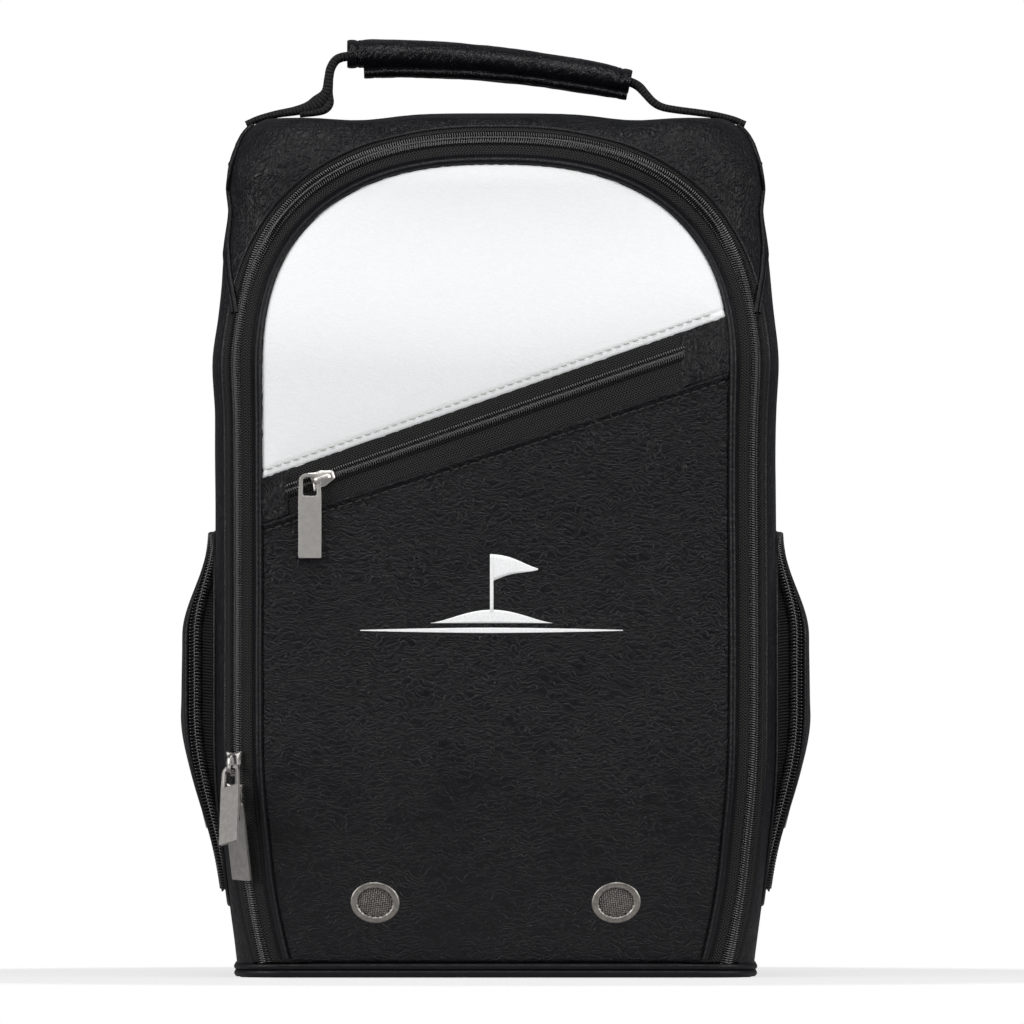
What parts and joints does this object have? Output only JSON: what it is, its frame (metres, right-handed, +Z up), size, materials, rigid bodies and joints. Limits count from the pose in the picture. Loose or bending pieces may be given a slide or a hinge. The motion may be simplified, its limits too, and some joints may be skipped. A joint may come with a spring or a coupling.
{
  "type": "golf shoe bag",
  "caption": "Upright zipped shoe bag with a fold-down front, slanted front pocket, bulged side pockets, mesh vents and a padded top handle.",
  "frame": {"origin": "middle of the base's flat underside, on the floor", "axes": "+Z up, -Y out of the front that unzips, +X to the right as the front is seen"},
  "size_m": [0.2666, 0.1626, 0.4003],
  "materials": {
    "black_leather": "soft grained synthetic leather, satin",
    "piping_leather": "smooth synthetic leather, satin",
    "white_leather": "fine grained synthetic leather, satin",
    "zip_tape": "herringbone woven tape, matt",
    "zip_coil": "nylon coil, satin",
    "lining_cloth": "plain woven polyester, matt",
    "stiffener": "foam and fibre board, matt",
    "webbing": "ribbed woven webbing, matt",
    "nickel": "brushed nickel",
    "vent_metal": "antique nickel"
  },
  "bodies": {
    "case": {"top_panel": "black_leather", "side_panel_left": "black_leather", "side_panel_right": "black_leather", "back_panel": "black_leather", "seam_piping_left": "piping_leather", "seam_piping_right": "piping_leather", "base_panel": "black_leather", "base_binding": "piping_leather", "back_board": "stiffener", "base_board": "stiffener", "side_foam_left": "stiffener", "side_foam_right": "stiffener", "main_lining": "lining_cloth", "main_zip_tape_outer": "zip_tape", "main_zip_coil_outer": "zip_coil", "side_gusset_left": "zip_tape", "side_gusset_right": "zip_tape", "side_zip_coil_fixed_left": "zip_coil", "side_zip_coil_fixed_right": "zip_coil", "strap_anchor_left": "webbing", "strap_anchor_right": "webbing"},
    "flap": {"main_zip_tape_flap": "zip_tape", "main_zip_coil_flap": "zip_coil", "white_panel": "white_leather", "black_panel": "black_leather", "flap_piping": "piping_leather", "flap_board": "stiffener", "flap_lining": "lining_cloth", "pocket_end_tab_left": "black_leather", "pocket_end_tab_right": "black_leather", "pocket_zip_tape_upper": "zip_tape", "pocket_zip_tape_lower": "zip_tape", "pocket_zip_coil_upper": "zip_coil", "pocket_zip_coil_lower": "zip_coil", "pocket_pouch": "lining_cloth", "vent_ring_left": "vent_metal", "vent_ring_right": "vent_metal", "vent_washer_left": "vent_metal", "vent_washer_right": "vent_metal", "vent_mesh_left": "vent_metal", "vent_mesh_right": "vent_metal"},
    "main_slider_upper": {"main_slider_upper": "nickel"},
    "main_pull_upper": {"main_pull_upper": "nickel"},
    "main_slider_lower": {"main_slider_lower": "nickel"},
    "main_pull_lower": {"main_pull_lower": "nickel"},
    "pocket_slider": {"pocket_slider": "nickel"},
    "pocket_pull": {"pocket_pull": "nickel"},
    "side_cover_left": {"side_cover_left": "black_leather", "side_zip_coil_cover_left": "zip_coil"},
    "side_cover_right": {"side_cover_right": "black_leather", "side_zip_coil_cover_right": "zip_coil"},
    "side_slider_left": {"side_slider_left": "nickel"},
    "side_slider_right": {"side_slider_right": "nickel"},
    "side_pull_left": {"side_pull_left": "nickel"},
    "side_pull_right": {"side_pull_right": "nickel"},
    "handle": {"handle_strap": "webbing", "handle_filler": "stiffener", "handle_grip": "black_leather"}
  },
  "joints": [
    {"name": "flap_hinge", "type": "hinge", "parent": "case", "child": "flap", "pos_m": [0, -0.05576, 0.0063], "axis": [1, 0, 0], "range_deg": [0, 78]},
    {"name": "main_slider_upper_slide", "type": "slide", "parent": "flap", "child": "main_slider_upper", "axis": [0, 0, 1], "range_m": [0, 0.155]},
    {"name": "main_pull_upper_hinge", "type": "hinge", "parent": "main_slider_upper", "child": "main_pull_upper", "pos_m": [-0.11284, -0.07274, 0.08995], "axis": [-0.7661, 0.5954, -0.2419], "range_deg": [0, 140]},
    {"name": "main_slider_lower_slide", "type": "slide", "parent": "flap", "child": "main_slider_lower", "axis": [0.1021, 0.2429, -0.9647], "range_m": [0, 0.042]},
    {"name": "main_pull_lower_hinge", "type": "hinge", "parent": "main_slider_lower", "child": "main_pull_lower", "pos_m": [-0.11194, -0.07052, 0.07585], "axis": [-0.7876, 0.6121, 0.0707], "range_deg": [0, 42]},
    {"name": "pocket_slider_slide", "type": "slide", "parent": "flap", "child": "pocket_slider", "axis": [0.944, 0, 0.3299], "range_m": [0, 0.15]},
    {"name": "pocket_pull_swing", "type": "hinge", "parent": "pocket_slider", "child": "pocket_pull", "pos_m": [-0.07561, -0.078, 0.21], "axis": [0, 0, 1], "range_deg": [0, 60]},
    {"name": "handle_swing", "type": "hinge", "parent": "case", "child": "handle", "pos_m": [0, 0, 0.3716], "axis": [1, 0, 0], "range_deg": [-40, 40], "stiffness_Nm_per_rad": 0.03},
    {"name": "side_cover_left_hinge", "type": "hinge", "parent": "case", "child": "side_cover_left", "pos_m": [-0.12013, 0, 0.0365], "axis": [0, -1, 0], "range_deg": [0, 60]},
    {"name": "side_slider_left_slide", "type": "slide", "parent": "side_cover_left", "child": "side_slider_left", "axis": [0, 0, 1], "range_m": [0, 0.032]},
    {"name": "side_pull_left_hinge", "type": "hinge", "parent": "side_slider_left", "child": "side_pull_left", "pos_m": [-0.1284, 0.0487, 0.09825], "axis": [1, 0, 0], "range_deg": [0, 125]},
    {"name": "side_cover_right_hinge", "type": "hinge", "parent": "case", "child": "side_cover_right", "pos_m": [0.12013, 0, 0.0365], "axis": [0, 1, 0], "range_deg": [0, 60]},
    {"name": "side_slider_right_slide", "type": "slide", "parent": "side_cover_right", "child": "side_slider_right", "axis": [0, 0, 1], "range_m": [0, 0.032]},
    {"name": "side_pull_right_hinge", "type": "hinge", "parent": "side_slider_right", "child": "side_pull_right", "pos_m": [0.1284, 0.0487, 0.09825], "axis": [1, 0, 0], "range_deg": [0, 125]}
  ]
}
